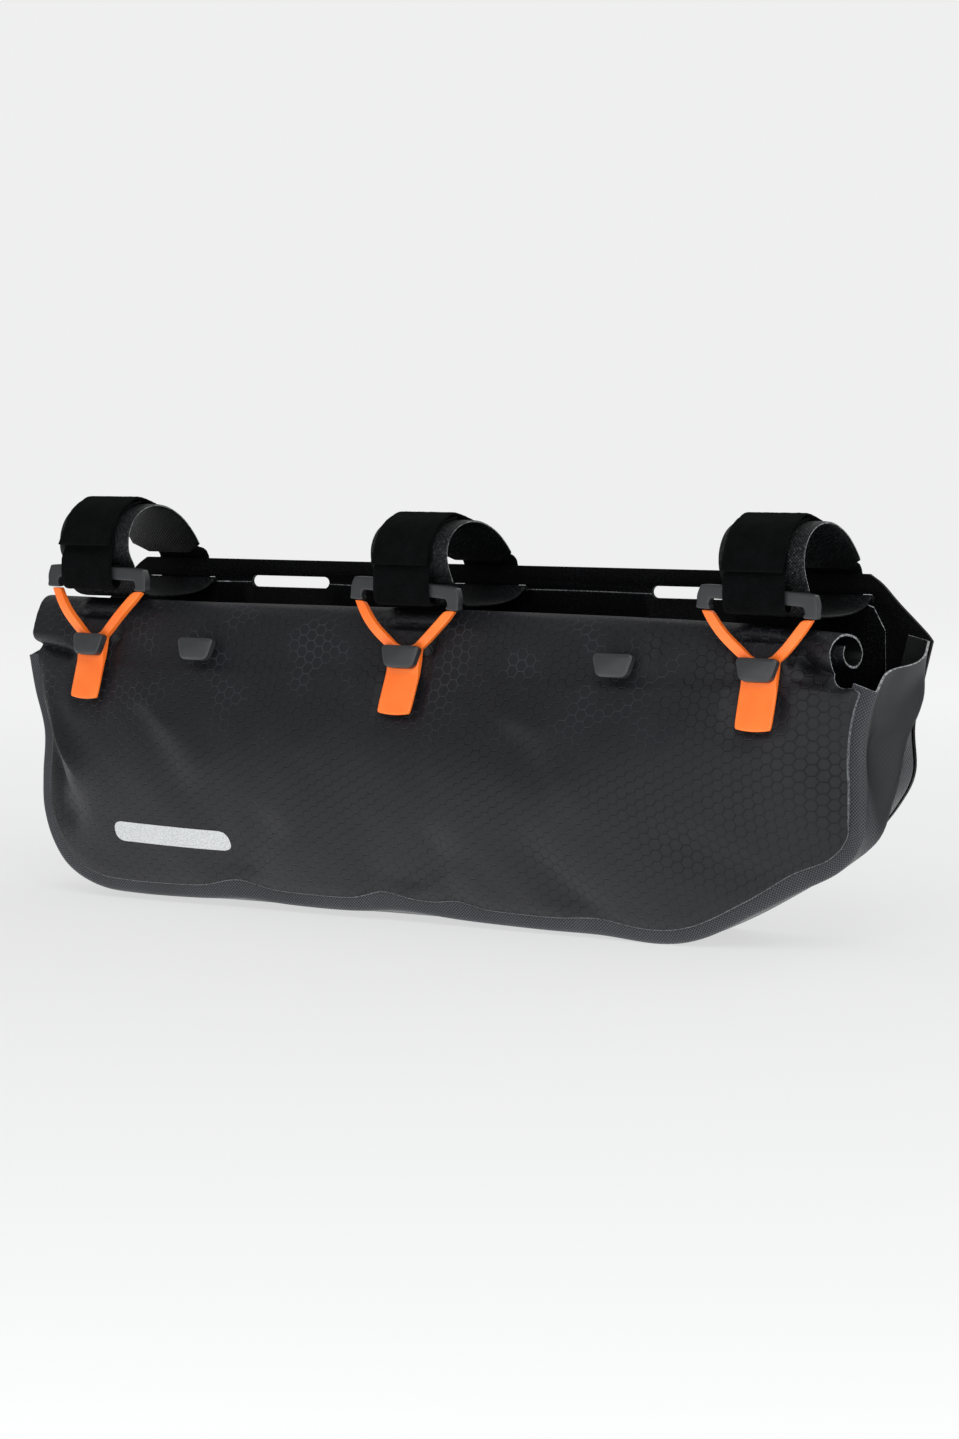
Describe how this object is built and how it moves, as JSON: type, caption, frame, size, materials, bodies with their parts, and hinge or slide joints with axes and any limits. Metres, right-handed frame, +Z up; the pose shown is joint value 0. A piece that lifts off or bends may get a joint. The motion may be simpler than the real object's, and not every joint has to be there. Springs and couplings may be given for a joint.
{
  "type": "bicycle frame bag",
  "caption": "Soft roll-closure bag that hangs under a bicycle's top tube by hook-and-loop straps, with elastic pulls that hold the rolled mouth on plastic hooks.",
  "frame": {"origin": "centre of the bounding box at floor level, under the bag standing on its bottom", "axes": "+X along the bag towards its slanted lower corner's end, +Y towards the back panel, +Z up"},
  "size_m": [0.41, 0.0848, 0.1748],
  "materials": {
    "panel_fabric": "coated ripstop, matt",
    "gusset_fabric": "coated fabric with welded weave borders",
    "flange_weave": "coated weave over a stiffener, slight gloss",
    "band_weave": "woven band with coated face, slight gloss",
    "loop_pile": "hook-and-loop pile, very matt",
    "hard_plastic": "moulded, fine grain",
    "elastic_rubber": "satin orange"
  },
  "bodies": {
    "root": {"front_panel": "panel_fabric", "gusset": "gusset_fabric", "back_panel": "flange_weave", "ring_band_1": "band_weave", "ring_band_2": "band_weave", "ring_band_3": "band_weave", "loop_strap_1": "loop_pile", "loop_strap_2": "loop_pile", "loop_strap_3": "loop_pile", "hook_strap_1": "loop_pile", "hook_strap_2": "loop_pile", "hook_strap_3": "loop_pile", "bridge_1": "hard_plastic", "bridge_2": "hard_plastic", "bridge_3": "hard_plastic", "pull_1": "elastic_rubber", "pull_2": "elastic_rubber", "pull_3": "elastic_rubber", "hook_1": "hard_plastic", "hook_2": "hard_plastic", "hook_3": "hard_plastic", "hook_4": "hard_plastic", "hook_5": "hard_plastic"}
  },
  "joints": []
}
